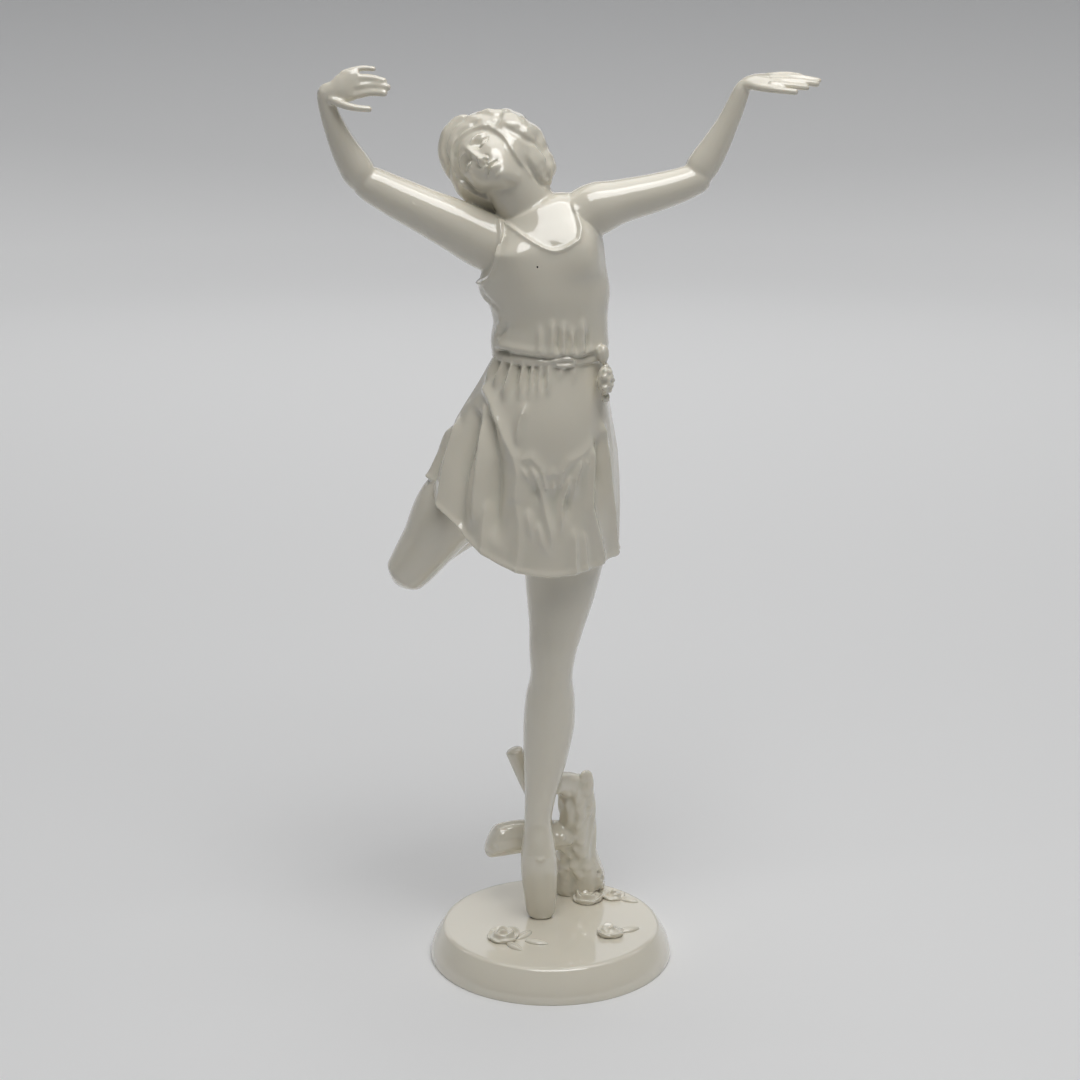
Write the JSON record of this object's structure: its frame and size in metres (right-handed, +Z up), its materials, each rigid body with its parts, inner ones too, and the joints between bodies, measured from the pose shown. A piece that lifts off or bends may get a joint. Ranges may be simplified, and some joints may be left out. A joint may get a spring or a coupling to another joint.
{
  "type": "dancer figurine",
  "caption": "Glazed porcelain figurine of a dancer poised on the point of one foot with raised arms, a tree stump behind the leg, on a round base.",
  "frame": {"origin": "middle of the round underside of the base, on the surface it stands on", "axes": "+Z up, the dancer faces -Y, her left side is towards +X"},
  "size_m": [0.1478, 0.0991, 0.2824],
  "materials": {
    "porcelain": "glazed white porcelain"
  },
  "bodies": {
    "root": {"porcelain_dancer": "porcelain"}
  },
  "joints": []
}
